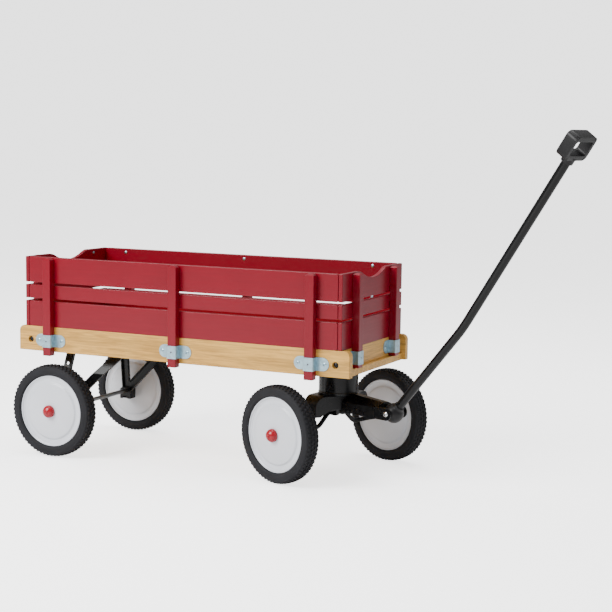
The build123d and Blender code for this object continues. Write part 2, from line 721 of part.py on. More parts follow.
def front_bolster():
    """A pressed saddle, open below, with a box of ribs inside it that carries the axle."""
    shell = saddle_block(0, 0) - saddle_block(brace_sheet, hollow_below)
    ribs = rib_block(0, 0) - rib_block(brace_sheet, hollow_below)
    return shell + ribs - Pos(0, 0, bolster_top) * Cylinder(kingpin_radius + fit, 20)


def front_axle():
    """A round rod cranked up in the middle to pass under the bolster."""
    end = wheel_y + axle_end
    points = [(-end, wheel_radius), (-axle_crank_out, wheel_radius), (-axle_crank_in, axle_middle),
              (axle_crank_in, axle_middle), (axle_crank_out, wheel_radius), (end, wheel_radius)]
    path = FilletPolyline(*[(-axle_trail, y, z) for y, z in points], radius=axle_bend)
    start = Plane(origin=path @ 0, z_dir=path % 0)
    return sweep(start * Circle(axle_radius), path)


def axle_clamps():
    """Two blocks between the bolster's ribs that hold the axle's raised middle."""
    half = bolster_width / 2 - brace_sheet
    low, high = axle_middle - axle_radius - clamp_wall, bolster_top - bolster_rib + clamp_above
    bore = Rot(90, 0, 0) * Cylinder(axle_radius + fit, 200)
    clamps = []
    for side in (-1, 1):
        y = side * clamp_spacing / 2
        body = block((-half, half), (y - clamp_width / 2, y + clamp_width / 2), (low, high))
        body = fillet(body.edges().filter_by(Axis.Y).group_by(Axis.Z)[0], 5)
        clamps.append(Pos(-axle_trail, 0, 0) * (body - Pos(0, 0, axle_middle) * bore))
    return clamps


# ---- yoke and handle, in the same frame ----------------------------------------------------------
def hood_section(reach, inset):
    """The yoke's outline across its length: upright cheeks under a ridged hood."""
    length = pivot_reach + cheek_height / 2
    eave = pivot_height + hood_eave_rear + (hood_eave_front - hood_eave_rear) * reach / length
    ridge = pivot_height + hood_ridge_rear + (hood_ridge_front - hood_ridge_rear) * reach / length
    half, low = ball_radius + cheek_gap + yoke_sheet, pivot_height - 2 * cheek_height
    side = [(half, low), (half, eave), (hood_ridge_half, ridge)]
    face = make_face(Polyline(*side, *[(-y, z) for y, z in reversed(side)], close=True))
    face = offset(face, -inset, kind=Kind.INTERSECTION) if inset else face
    return Plane.YZ.offset(reach) * face


def hood_block(inset):
    length = pivot_reach + cheek_height / 2
    return loft([hood_section(0, inset), hood_section(length, inset)], ruled=True)


def yoke():
    """A pressed channel open below: two cheeks with round lobes, joined by a hood behind the ball."""
    shell = hood_block(0) - hood_block(yoke_sheet)
    hood_end = pivot_reach - ball_radius - cheek_gap
    inside, far = ball_radius + cheek_gap, pivot_reach + cheek_height
    lobes = Plane.XZ * (Pos(pivot_reach / 2, pivot_height) * SlotCenterToCenter(pivot_reach, cheek_height))
    roof = block((0, hood_end), (-far, far), (pivot_height, deck_top))
    shell = shell & (extrude(lobes, far, both=True) + roof)
    opening = block((hood_end, far), (-inside, inside), (0, deck_top))
    pin = Pos(pivot_reach, 0, pivot_height) * Rot(90, 0, 0) * Cylinder(pin_radius + fit, 200)
    saddle = extrude(offset(saddle_plan(), fit), bolster_top)
    drum = Pos(0, 0, bolster_top) * Cylinder(
        drum_radius + drum_bead + turning_gap, drum_depth, align=(Align.CENTER, Align.CENTER, Align.MIN))
    return shell - opening - pin - saddle - drum


def yoke_rivet():
    outside = ball_radius + cheek_gap + yoke_sheet
    pin = Cylinder(pin_radius, 2 * outside)
    head = turned([(0, 0), (pin_head, 0), (pin_head * 0.88, pin_head_height * 0.6),
                   (pin_head * 0.5, pin_head_height), (0, pin_head_height)])
    whole = pin + Pos(0, 0, outside) * head + Pos(0, 0, -outside) * Rot(180, 0, 0) * head
    return Pos(pivot_reach, 0, pivot_height) * Rot(90, 0, 0) * whole


def handle_point(distance):
    """A point on the handle's middle line, measured from the pivot along its straight legs."""
    low = min(distance, handle_low_length)
    high = max(distance - handle_low_length, 0.0)
    a, b = radians(handle_low_angle), radians(handle_high_angle)
    return (pivot_reach + low * cos(a) + high * cos(b), 0,
            pivot_height + low * sin(a) + high * sin(b))


def handle_tube():
    """A round tube with one gentle bend, from inside the ball to inside the grip."""
    points = [handle_point(tube_socket), handle_point(handle_low_length),
              handle_point(handle_length + grip_socket)]
    path = FilletPolyline(*points, radius=handle_bend)
    start = Plane(origin=path @ 0, z_dir=path % 0)
    return sweep(start * (Circle(tube_radius) - Circle(tube_radius - tube_wall)), path)


def handle_ball():
    ball = Pos(pivot_reach, 0, pivot_height) * Sphere(ball_radius)
    pin = Pos(pivot_reach, 0, pivot_height) * Rot(90, 0, 0) * Cylinder(pin_radius + fit, 200)
    tube = bar(tube_radius + fit, handle_point(tube_socket), handle_point(ball_radius * 2))
    return ball - pin - tube


def grip_plane():
    """The grip's own frame: X across the wagon, Y along the tube and Z out of the loop."""
    a = radians(handle_high_angle)
    return Plane(origin=handle_point(handle_length), x_dir=(0, 1, 0), z_dir=(sin(a), 0, -cos(a)))


def handle_grip():
    """A moulded D loop: rounded hand bar, two side walls and a socketed foot."""
    loop = Pos(0, grip_height / 2) * RectangleRounded(grip_width, grip_height, grip_corner)
    hole_middle = grip_foot_bar + grip_hole_height / 2
    hole = Pos(0, hole_middle) * RectangleRounded(grip_hole_width, grip_hole_height, grip_corner * 0.6)
    body = extrude(loop - hole, grip_depth / 2, both=True)
    rims = [e for e in body.edges() if abs(abs(e.center().Z) - grip_depth / 2) < 0.01]
    body = fillet(rims, grip_round)
    boss = Rot(-90, 0, 0) * Cylinder(grip_boss_radius, grip_boss_length + grip_foot_bar / 2,
                                     align=(Align.CENTER, Align.CENTER, Align.MIN))
    body = body + Pos(0, -grip_boss_length, 0) * boss
    bore = Rot(-90, 0, 0) * Cylinder(tube_radius + fit, grip_boss_length + 1 + grip_socket,
                                     align=(Align.CENTER, Align.CENTER, Align.MIN))
    return grip_plane() * (body - Pos(0, -grip_boss_length - 1, 0) * bore)


# ---- write every node ------------------------------------------------------------------------------
def save_bed():
    for name, side in (("left", 1), ("right", -1)):
        save("side_rail_" + name, side_rail(side))
        save("rear_brace_" + name, rear_brace(side))
    save("end_board_front", end_board(1))
    save("end_board_rear", end_board(-1))
    save("floor_panel", floor_panel())
    save("rail_bolts", *rail_bolts())
    save("stake_brackets", *brackets())
    save("bracket_screws", *bracket_screws())
    save("gear_bolts", *gear_bolts())
    save("rear_axle", rear_axle())


def save_front_gear():
    ahead = Pos(kingpin_x, 0, 0)
    save("turntable_cup", ahead * (turntable_cup() - cup_bolt_holes()))
    save("kingpin", *[ahead * solid for solid in kingpin()])
    save("thrust_washer", ahead * thrust_washer())
    save("front_bolster", steered * front_bolster())
    save("front_axle", steered * front_axle())
    save("axle_clamps", *[steered * clamp for clamp in axle_clamps()])
    save("yoke", steered * yoke())
    save("yoke_rivet", steered * yoke_rivet())
    save("handle_ball", steered * handle_ball())
    save("handle_tube", steered * handle_tube())
    save("handle_grip", steered * handle_grip())


os.makedirs("parts", exist_ok=True)
save_bed()
save_panels()
save_wheels()
save_front_gear()
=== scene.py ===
"""A children's pull wagon: finishes, turned and moulded pieces and a small studio.

Laid out as an add-on. Run as a script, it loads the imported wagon, replaces the plain turned
pieces with detailed ones and finishes the rest in lacquered wood, paint, zinc and rubber.
"""
import json
import math

import bpy
from bpy.props import FloatProperty, FloatVectorProperty, IntProperty, PointerProperty
from mathutils import Matrix, Vector


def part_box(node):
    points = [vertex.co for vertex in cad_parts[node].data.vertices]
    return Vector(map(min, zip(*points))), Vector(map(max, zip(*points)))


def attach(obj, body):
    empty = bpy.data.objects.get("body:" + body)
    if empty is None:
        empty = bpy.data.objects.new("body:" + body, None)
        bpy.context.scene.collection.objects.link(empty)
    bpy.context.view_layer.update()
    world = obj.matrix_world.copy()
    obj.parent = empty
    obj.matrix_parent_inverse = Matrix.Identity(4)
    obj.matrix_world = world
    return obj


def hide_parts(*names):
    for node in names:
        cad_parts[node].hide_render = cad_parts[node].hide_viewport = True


bl_info = {
    "name": "Children's Pull Wagon",
    "version": (1, 0, 0),
    "blender": (4, 5, 0),
    "location": "View3D > Sidebar > Wagon",
    "description": "Finishes a wooden pull wagon and sets it in a small studio",
    "category": "Object",
}

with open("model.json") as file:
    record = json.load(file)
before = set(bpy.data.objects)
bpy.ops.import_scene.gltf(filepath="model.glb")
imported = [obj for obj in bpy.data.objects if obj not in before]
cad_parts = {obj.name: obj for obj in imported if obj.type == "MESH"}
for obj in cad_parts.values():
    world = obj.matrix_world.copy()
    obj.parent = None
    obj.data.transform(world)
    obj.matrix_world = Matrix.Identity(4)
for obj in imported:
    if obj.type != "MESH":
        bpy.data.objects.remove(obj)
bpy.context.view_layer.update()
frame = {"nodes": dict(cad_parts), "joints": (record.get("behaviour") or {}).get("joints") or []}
MM = 0.001


# ---- places and sizes read from the frame ---------------------------------------------------

def box(node):
    """Lowest and highest corners of a node, as vectors."""
    low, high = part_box(node)
    return Vector(low), Vector(high)


def span(node):
    low, high = box(node)
    return high - low


def joint(name):
    """A joint's point and axis."""
    entry = next(j for j in frame["joints"] if j["name"] == name)
    return Vector(entry["pos_m"]), Vector(entry["axis"]).normalized()


GROUND = min(box("wheel_rear_left_tyre")[0].z, box("wheel_rear_right_tyre")[0].z)
WHEELS = ("rear_left", "rear_right", "front_left", "front_right")
PANELS = ("left", "right", "front", "rear")
TYRE_RADIUS = span("wheel_rear_left_tyre").z / 2
TYRE_WIDTH = span("wheel_rear_left_tyre").y
RIM_RADIUS = span("wheel_rear_left_disc").z / 2
DISC_HALF = span("wheel_rear_left_disc").y / 2
CAP_RADIUS = span("wheel_rear_left_hub_cap").z / 2
CAP_LENGTH = span("wheel_rear_left_hub_cap").y
BALL_RADIUS = span("handle_ball").z / 2
AXLE_BORE = span("rear_axle").z / 2 + 0.1 * MM
DISC_RIM_HALF = 17.5 * MM      # wheel's middle to the face of the rim's lip
CAP_GAP = 0.6 * MM             # hub cap to wheel
TUBE_GAP = 0.1 * MM            # handle tube in the ball and the grip
WHEEL_STEPS = 96               # faces round a tyre or a disc


def side_sign(wheel):
    return 1 if wheel.endswith("left") else -1


def wheel_place(wheel):
    """Carries a wheel part drawn about Z, outer side up, to its axle."""
    centre, axis = joint(f"wheel_{wheel}_spin")
    outward = axis * side_sign(wheel)
    side = outward.cross(Vector((0, 0, 1))).normalized()
    turn = Matrix((side, outward.cross(side), outward)).transposed().to_4x4()
    return Matrix.Translation(centre) @ turn


# ---- colours ---------------------------------------------------------------------------------

def linear(code):
    """An sRGB hex colour as linear RGBA."""
    channels = [int(code[i:i + 2], 16) / 255 for i in (1, 3, 5)]
    return [c / 12.92 if c <= 0.04045 else ((c + 0.055) / 1.055) ** 2.4 for c in channels] + [1.0]


# ---- mesh work, as done by hand ----------------------------------------------------------------

def clear_selection():
    if bpy.context.object and bpy.context.object.mode != "OBJECT":
        bpy.ops.object.mode_set(mode="OBJECT")
    bpy.ops.object.select_all(action="DESELECT")


def only(piece):
    """Select one piece and make it active."""
    clear_selection()
    piece.select_set(True)
    bpy.context.view_layer.objects.active = piece


def named(name):
    piece = bpy.context.object
    piece.name = name
    piece.data.name = name
    return piece


def select_faces(piece, test):
    """In edit mode, select the faces whose centre and normal pass a test."""
    bpy.ops.mesh.select_all(action="DESELECT")
    bpy.ops.mesh.select_mode(type="FACE")
    bpy.ops.object.mode_set(mode="OBJECT")
    for face in piece.data.polygons:
        face.select = bool(test(face.center, face.normal))
    bpy.ops.object.mode_set(mode="EDIT")


def place(piece, matrix):
    """Move a finished piece into the wagon and leave its object at the origin."""
    only(piece)
    piece.matrix_world = matrix @ piece.matrix_world
    bpy.ops.object.transform_apply(location=True, rotation=True, scale=True)
    return piece


def copy_of(piece, name):
    """A separate copy of a piece, with its own mesh."""
    only(piece)
    bpy.ops.object.duplicate(linked=False)
    return named(name)


def joined(pieces, name):
    clear_selection()
    for piece in pieces:
        piece.select_set(True)
    bpy.context.view_layer.objects.active = pieces[0]
    bpy.ops.object.join()
    return named(name)


def apply_modifier(piece, kind, **settings):
    """Put one modifier on a piece with the given settings, and apply it."""
    only(piece)
    modifier = piece.modifiers.new(kind.title(), kind)
    for key, value in settings.items():
        setattr(modifier, key, value)
    bpy.ops.object.modifier_apply(modifier=modifier.name)
    return piece


def smooth(piece, degrees=35):
    only(piece)
    bpy.ops.object.shade_smooth_by_angle(angle=math.radians(degrees))
    return piece


def lathe(name, outline, steps):
    """Turn a closed (radius, height) outline in metres about Z."""
    clear_selection()
    bpy.ops.mesh.primitive_plane_add(size=MM)
    piece = named(name)
    bpy.ops.object.mode_set(mode="EDIT")
    bpy.ops.mesh.select_mode(type="VERT")
    bpy.ops.mesh.merge(type="CENTER")
    here = Vector((outline[0][0], 0, outline[0][1]))
    bpy.ops.transform.translate(value=here)
    for radius, height in list(outline[1:]) + [outline[0]]:
        there = Vector((radius, 0, height))
        bpy.ops.mesh.extrude_region_move(TRANSFORM_OT_translate={"value": there - here})
        here = there
    bpy.ops.mesh.select_all(action="SELECT")
    bpy.ops.mesh.remove_doubles(threshold=1e-6)
    bpy.ops.mesh.spin(steps=steps, angle=math.tau, center=(0, 0, 0), axis=(0, 0, 1))
    bpy.ops.mesh.select_all(action="SELECT")
    bpy.ops.mesh.remove_doubles(threshold=2e-6)
    bpy.ops.mesh.normals_make_consistent(inside=False)
    bpy.ops.object.mode_set(mode="OBJECT")
    return piece


def arc(centre, radius, start, end, points):
    """Points of a circular arc, in degrees, as (radius, height) pairs."""
    turn = [math.radians(start + (end - start) * i / (points - 1)) for i in range(points)]
    return [(centre[0] + radius * math.cos(a), centre[1] + radius * math.sin(a)) for a in turn]


def finish(piece, body, slot, material, *nodes):
    """Give a piece its material and its body, and hide the nodes that it stands for."""
    piece.data.materials.clear()
    piece.data.materials.append(material)
    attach(piece, body)
    if nodes:
        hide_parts(*nodes)
    return piece


def coat(material, *nodes):
    """Give plain nodes a better material."""
    for node in nodes:
        target = frame["nodes"][node]
        for slot in target.material_slots:
            slot.material = material


# ---- materials ---------------------------------------------------------------------------------

def add_node(tree, kind, inputs=None, **settings):
    """Add one shader node, with its settings and the values or links of its inputs."""
    node = tree.nodes.new(kind)
    for key, value in settings.items():
        setattr(node, key, value)
    for key, value in (inputs or {}).items():
        if isinstance(value, bpy.types.NodeSocket):
            tree.links.new(value, node.inputs[key])
        else:
            node.inputs[key].default_value = value
    return node


def new_material(name, **constants):
    """A material with one Principled surface, its constants and a place on the object."""
    material = bpy.data.materials.new(name)
    material.use_nodes = True
    tree = material.node_tree
    surface = tree.nodes["Principled BSDF"]
    for key, value in constants.items():
        surface.inputs[key.replace("_", " ")].default_value = value
    here = add_node(tree, "ShaderNodeTexCoord").outputs["Object"]
    return material, tree, surface, here


def shade(colour, factor):
    """The same colour, lighter or darker."""
    return [min(1.0, channel * factor) for channel in colour[:3]] + [1.0]


def speckle(tree, place_at, size, detail=2.0, distortion=0.0):
    """Noise whose spots are the given size in metres."""
    return add_node(tree, "ShaderNodeTexNoise", {
        "Vector": place_at, "Scale": 1 / size, "Detail": detail,
        "Distortion": distortion}).outputs["Fac"]


def ramp(tree, factor, low, high, dark, light):
    """Two colours with a soft step between two factor values."""
    node = add_node(tree, "ShaderNodeValToRGB", {"Fac": factor})
    for stop, position, colour in zip(node.color_ramp.elements, (low, high), (dark, light)):
        stop.position = position
        stop.color = colour
    return node.outputs["Color"]


def multiplied(tree, first, second, factor=1.0):
    """One colour multiplied by another."""
    node = add_node(tree, "ShaderNodeMix", {0: factor, 6: first, 7: second},
                    data_type="RGBA", blend_type="MULTIPLY")
    return node.outputs[2]


def between(tree, factor, low, high):
    """A number between two values, from a factor of 0 to 1."""
    return add_node(tree, "ShaderNodeMapRange", {
        "Value": factor, "To Min": low, "To Max": high}).outputs["Result"]


def relief(tree, surface, height, depth, strength=1.0, under=None):
    """Bump of the given depth in metres, over another bump if there is one."""
    inputs = {"Height": height, "Distance": depth, "Strength": strength}
    if under is not None:
        inputs["Normal"] = under
    bump = add_node(tree, "ShaderNodeBump", inputs).outputs["Normal"]
    tree.links.new(bump, surface.inputs["Normal"])
    return bump


def once(make):
    """Makes each material once, however many pieces ask for it."""
    made = {}

    def get(*details):
        key = tuple(tuple(d) if isinstance(d, list) else d for d in details)
        if key not in made:
            made[key] = make(*details)
        return made[key]
    return get


GRAIN_STRETCH = 0.05     # how much longer the grain's marks are than they are wide


def grain_space(tree, here, along):
    """The place on the object, stretched along one axis so that noise drawn on it runs as grain."""
    stretch = Vector((1, 1, 1))
    stretch[along] = GRAIN_STRETCH
    return add_node(tree, "ShaderNodeMapping", {"Vector": here, "Scale": stretch}).outputs[0]


@once
def lacquered_hardwood(along):
    """Planed pale hardwood under clear satin lacquer.

    The eye sees wavy darker bands about 10 mm wide, fine pores drawn 1.5 mm wide so that they
    show, slow changes of colour from board to board and a soft, even gloss.
    """
    colour = paint("hardwood")
    material, tree, surface, here = new_material(
        f"lacquered_hardwood_{'xyz'[along]}", Roughness=0.4, IOR=1.45, Specular_IOR_Level=0.3,
        Coat_Weight=0.1, Coat_Roughness=0.2)
    grain = grain_space(tree, here, along)
    bands = speckle(tree, grain, 10 * MM, 4.0, 1.4)
    pores = speckle(tree, grain, 1.5 * MM, 3.0)
    drift = speckle(tree, here, 120 * MM, 2.0)
    banded = ramp(tree, bands, 0.38, 0.62, shade(colour, 0.66), shade(colour, 1.0))
    pored = multiplied(tree, banded, ramp(tree, pores, 0.30, 0.50, [0.72, 0.64, 0.52, 1], [1, 1, 1, 1]), 0.7)
    drifted = multiplied(tree, pored, ramp(tree, drift, 0.3, 0.7, [0.88, 0.83, 0.76, 1], [1, 1, 1, 1]))
    tree.links.new(drifted, surface.inputs["Base Color"])
    tree.links.new(between(tree, pores, 0.5, 0.34), surface.inputs["Roughness"])
    relief(tree, surface, pores, 0.12 * MM, 0.5)
    return material


@once
def gloss_painted_wood(along):
    """Gloss enamel paint, brushed thick over planed boards.

    The eye sees an even deep red with a clear shine, a faint trace of the grain under it and
    the slight waviness of thick paint, drawn 6 mm wide.
    """
    colour = paint("panel_red")
    material, tree, surface, here = new_material(
        f"gloss_painted_wood_{'xyz'[along]}", Roughness=0.3, IOR=1.45, Specular_IOR_Level=0.35,
        Coat_Weight=0.08, Coat_Roughness=0.12)
    grain = grain_space(tree, here, along)
    trace = speckle(tree, grain, 5 * MM, 3.0, 0.6)
    wave = speckle(tree, here, 6 * MM, 1.0)
    drift = speckle(tree, here, 90 * MM, 2.0)
    tone = multiplied(tree, ramp(tree, trace, 0.3, 0.7, shade(colour, 0.93), shade(colour, 1.03)),
                      ramp(tree, drift, 0.3, 0.7, [0.93, 0.9, 0.9, 1], [1, 1, 1, 1]))
    tree.links.new(tone, surface.inputs["Base Color"])
    tree.links.new(between(tree, trace, 0.36, 0.27), surface.inputs["Roughness"])
    under = relief(tree, surface, trace, 0.10 * MM, 0.35)
    relief(tree, surface, wave, 0.08 * MM, 0.4, under)
    return material


@once
def zinc_plated_steel():
    """Pressed steel strip, bright zinc plated with a bluish passivated film.

    The eye sees a cool silver, a cloudy change of gloss over about 8 mm and fine rolling lines.
    """
    colour = paint("zinc")
    material, tree, surface, here = new_material("zinc_plated_steel", Metallic=1.0)
    cloud = speckle(tree, here, 8 * MM, 3.0)
    fine = speckle(tree, here, 1.0 * MM, 2.0)
    tone = ramp(tree, cloud, 0.3, 0.7, shade(colour, 0.80), shade(colour, 1.05))
    tree.links.new(tone, surface.inputs["Base Color"])
    tree.links.new(between(tree, cloud, 0.46, 0.28), surface.inputs["Roughness"])
    relief(tree, surface, fine, 0.03 * MM, 0.3)
    return material


@once
def black_stoved_enamel():
    """Steel dipped in gloss black enamel and stoved.

    The eye sees a near black with sharp highlights and a little orange peel, drawn 3 mm wide.
    """
    colour = paint("gear_black")
    material, tree, surface, here = new_material(
        "black_stoved_enamel", Roughness=0.24, IOR=1.45, Specular_IOR_Level=0.32)
    peel = speckle(tree, here, 3 * MM, 1.0)
    dust = speckle(tree, here, 30 * MM, 4.0)
    tree.links.new(ramp(tree, dust, 0.35, 0.8, colour, shade(colour, 1.4)), surface.inputs["Base Color"])
    tree.links.new(between(tree, dust, 0.2, 0.36), surface.inputs["Roughness"])
    relief(tree, surface, peel, 0.05 * MM, 0.35)
    return material


@once
def white_stoved_enamel():
    """Pressed steel discs in white gloss enamel, with a faint cool cast and orange peel."""
    colour = paint("wheel_white")
    material, tree, surface, here = new_material(
        "white_stoved_enamel", Roughness=0.28, IOR=1.52, Coat_Weight=0.4, Coat_Roughness=0.1)
    peel = speckle(tree, here, 3 * MM, 1.0)
    cloud = speckle(tree, here, 60 * MM, 3.0)
    tone = ramp(tree, cloud, 0.3, 0.7, shade(colour, 0.95), colour)
    tree.links.new(tone, surface.inputs["Base Color"])
    tree.links.new(between(tree, cloud, 0.36, 0.24), surface.inputs["Roughness"])
    relief(tree, surface, peel, 0.05 * MM, 0.3)
    return material


@once
def moulded_tyre_rubber():
    """Vulcanised black rubber as it leaves the mould.

    The eye sees a dull charcoal with a fine sandy skin, drawn 1.2 mm wide, and greyer patches.
    """
    colour = paint("rubber")
    material, tree, surface, here = new_material(
        "moulded_tyre_rubber", Roughness=0.7, IOR=1.52, Specular_IOR_Level=0.22)
    skin = speckle(tree, here, 1.2 * MM, 3.0)
    bloom = speckle(tree, here, 35 * MM, 4.0)
    tone = ramp(tree, bloom, 0.35, 0.75, colour, shade(colour, 1.5))
    tree.links.new(tone, surface.inputs["Base Color"])
    tree.links.new(between(tree, bloom, 0.58, 0.8), surface.inputs["Roughness"])
    relief(tree, surface, skin, 0.12 * MM, 0.4)
    return material


@once
def glossy_moulded_plastic():
    """Injection moulded polypropylene from a polished mould: a clear red with a waxy shine."""
    colour = paint("cap_red")
    material, tree, surface, here = new_material(
        "glossy_moulded_plastic", Roughness=0.22, IOR=1.49, Subsurface_Weight=0.05,
        Subsurface_Scale=0.002)
    flow = speckle(tree, here, 14 * MM, 2.0)
    tree.links.new(ramp(tree, flow, 0.3, 0.7, shade(colour, 0.9), colour), surface.inputs["Base Color"])
    tree.links.new(between(tree, flow, 0.18, 0.3), surface.inputs["Roughness"])
    relief(tree, surface, flow, 0.05 * MM, 0.3)
    return material


@once
def textured_moulded_plastic():
    """Injection moulded ABS from a spark-eroded mould.

    The eye sees a satin black with a fine grain, drawn 0.9 mm wide so that it shows.
    """
    colour = paint("grip_black")
    material, tree, surface, here = new_material("textured_moulded_plastic", Roughness=0.4, IOR=1.45,
                                                 Specular_IOR_Level=0.35)
    grit = speckle(tree, here, 0.9 * MM, 2.0)
    wear = speckle(tree, here, 25 * MM, 3.0)
    tree.links.new(ramp(tree, wear, 0.4, 0.75, colour, shade(colour, 1.6)), surface.inputs["Base Color"])
    tree.links.new(between(tree, wear, 0.34, 0.48), surface.inputs["Roughness"])
    relief(tree, surface, grit, 0.08 * MM, 0.4)
    return material


@once
def bright_drawn_steel():
    """Cold drawn steel bar, left bare: a grey metal with fine scratches along its length."""
    colour = paint("steel")
    material, tree, surface, here = new_material("bright_drawn_steel", Metallic=1.0)
    scratch = speckle(tree, grain_space(tree, here, 1), 0.8 * MM, 2.0)
    tree.links.new(ramp(tree, scratch, 0.3, 0.7, shade(colour, 0.8), colour), surface.inputs["Base Color"])
    tree.links.new(between(tree, scratch, 0.28, 0.42), surface.inputs["Roughness"])
    relief(tree, surface, scratch, 0.02 * MM, 0.3)
    return material


@once
def nickel_plate():
    """A tumbled and nickel plated rivet: bright, a little uneven from the barrel."""
    colour = paint("nickel")
    material, tree, surface, here = new_material("nickel_plate", Metallic=1.0)
    dents = speckle(tree, here, 2 * MM, 2.0)
    tree.links.new(ramp(tree, dents, 0.3, 0.7, shade(colour, 0.92), colour), surface.inputs["Base Color"])
    tree.links.new(between(tree, dents, 0.12, 0.22), surface.inputs["Roughness"])
    relief(tree, surface, dents, 0.03 * MM, 0.3)
    return material


@once
def studio_paper():
    """Matt white background paper with a barely visible fibre.

    A glow that only the camera sees brings the floor up to the backdrop, so no line divides them.
    """
    colour = paint("floor")
    material, tree, surface, here = new_material(
        "studio_paper", Roughness=0.9, IOR=1.4, Emission_Color=[1, 1, 1, 1])
    seen = add_node(tree, "ShaderNodeLightPath").outputs["Is Camera Ray"]
    glow = between(tree, seen, 0.0, bpy.context.scene.wagon_stage.floor_glow)
    tree.links.new(glow, surface.inputs["Emission Strength"])
    fibre = speckle(tree, here, 4 * MM, 2.0)
    tree.links.new(ramp(tree, fibre, 0.2, 0.8, shade(colour, 0.985), colour), surface.inputs["Base Color"])
    relief(tree, surface, fibre, 0.05 * MM, 0.1)
    return material


# ---- settings ------------------------------------------------------------------------------------

def colour_property(name, description, code):
    return FloatVectorProperty(name=name, description=description, default=linear(code)[:3],
                               subtype="COLOR", size=3, min=0.0, max=1.0)


class WagonColours(bpy.types.PropertyGroup):
    """Colours of the wagon's finishes."""
    panel_red: colour_property("Panels", "Gloss paint of the slats and stakes", "#7A0018")
    hardwood: colour_property("Bed", "Lacquered wood of the bed", "#DCAA56")
    zinc: colour_property("Brackets", "Zinc plated straps and screws", "#A9C3CE")
    gear_black: colour_property("Gear", "Enamel of the running gear and handle", "#040405")
    wheel_white: colour_property("Wheels", "Enamel of the wheel discs", "#D6D9E0")
    rubber: colour_property("Tyres", "Tyre rubber", "#19191C")
    cap_red: colour_property("Hub caps", "Plastic hub caps", "#9C0018")
    grip_black: colour_property("Grip and ball", "Moulded plastic of the handle", "#0A090B")
    steel: colour_property("Axle and kingpin", "Bare drawn steel", "#9A9C9F")
    nickel: colour_property("Rivet", "Plated rivet", "#D8DADC")
    floor: colour_property("Floor", "Studio floor", "#FFFFFF")


class WagonWheelSizes(bpy.types.PropertyGroup):
    """Sizes of the detail on the wheels."""
    tread_blocks: IntProperty(name="Tread blocks", default=66, min=12, max=120,
                              description="Blocks in one row round the tyre")
    tread_depth: FloatProperty(name="Tread depth", default=3.2 * MM, unit="LENGTH",
                               description="Height of a tread block")
    block_width: FloatProperty(name="Block width", default=6.2 * MM, unit="LENGTH",
                               description="Width of a tread block across the tyre")
    block_length: FloatProperty(name="Block length", default=7.4 * MM, unit="LENGTH",
                                description="Length of a tread block round the tyre")
    lip_roll: FloatProperty(name="Rim roll", default=1.9 * MM, unit="LENGTH",
                            description="Radius of the rim's rolled lip")
    sheet: FloatProperty(name="Disc sheet", default=1.6 * MM, unit="LENGTH",
                         description="Thickness of the pressed disc")


class WagonHandleSizes(bpy.types.PropertyGroup):
    """Sizes of the handle's moulded parts."""
    lower_angle: FloatProperty(name="Lower angle", default=math.radians(47.7), unit="ROTATION",
                               description="Slope of the tube below its bend")
    upper_angle: FloatProperty(name="Upper angle", default=math.radians(54.9), unit="ROTATION",
                               description="Slope of the tube above its bend")
    lower_length: FloatProperty(name="Lower length", default=0.320, unit="LENGTH",
                                description="Pivot to the bend")
    length: FloatProperty(name="Length", default=0.833, unit="LENGTH",
                          description="Pivot to the grip's foot, along the tube")
    tube_radius: FloatProperty(name="Tube radius", default=11 * MM, unit="LENGTH",
                               description="Outer radius of the tube")
    grip_width: FloatProperty(name="Grip width", default=80 * MM, unit="LENGTH",
                              description="Grip, side to side")
    grip_height: FloatProperty(name="Grip height", default=64 * MM, unit="LENGTH",
                               description="Grip, along the tube")
    grip_depth: FloatProperty(name="Grip depth", default=30 * MM, unit="LENGTH",
                              description="Grip, front to back")
    side_wall: FloatProperty(name="Side wall", default=9 * MM, unit="LENGTH",
                             description="Thickness of the grip's side walls")
    hand_bar: FloatProperty(name="Hand bar", default=13 * MM, unit="LENGTH",
                            description="Thickness of the grip's top and bottom bars")


class WagonStage(bpy.types.PropertyGroup):
    """Camera and light."""
    camera_place: FloatVectorProperty(name="Camera", default=(1.962, -3.456, 0.578), subtype="XYZ",
                                      description="Camera's place from the deck's middle, in metres")
    azimuth: FloatProperty(name="Azimuth", default=math.radians(25.885), unit="ROTATION",
                           description="Camera's turn about the vertical")
    elevation: FloatProperty(name="Elevation", default=math.radians(6.651), unit="ROTATION",
                             description="Camera's angle above the horizon")
    roll: FloatProperty(name="Roll", default=0.013, unit="ROTATION",
                        description="Camera's lean to one side")
    lens: FloatProperty(name="Lens", default=86.1, description="Focal length in millimetres")
    key_power: FloatProperty(name="Key light", default=300.0, description="Power in watts")
    fill_power: FloatProperty(name="Fill light", default=8.0, description="Power in watts")
    top_power: FloatProperty(name="Top light", default=130.0, description="Power in watts")
    world_strength: FloatProperty(name="Surrounding light", default=0.4,
                                  description="Light that the white surroundings throw")
    backdrop: FloatProperty(name="Backdrop", default=2.6,
                            description="Brightness of the surroundings as the camera sees them")
    floor_glow: FloatProperty(name="Floor glow", default=2.2,
                              description="Brightness added to the floor as the camera sees it")


def paint(name):
    """One of the chosen colours as linear RGBA."""
    return list(getattr(bpy.context.scene.wagon_colours, name)) + [1.0]


# ---- timber ----------------------------------------------------------------------------------------

class WAGON_OT_bed(bpy.types.Operator):
    """Finish the rails, end boards and deck in lacquered hardwood"""
    bl_idname = "wagon.bed"
    bl_label = "Timber bed"

    def execute(self, context):
        coat(lacquered_hardwood(0), "side_rail_left", "side_rail_right", "floor_panel")
        coat(lacquered_hardwood(1), "end_board_front", "end_board_rear")
        return {"FINISHED"}


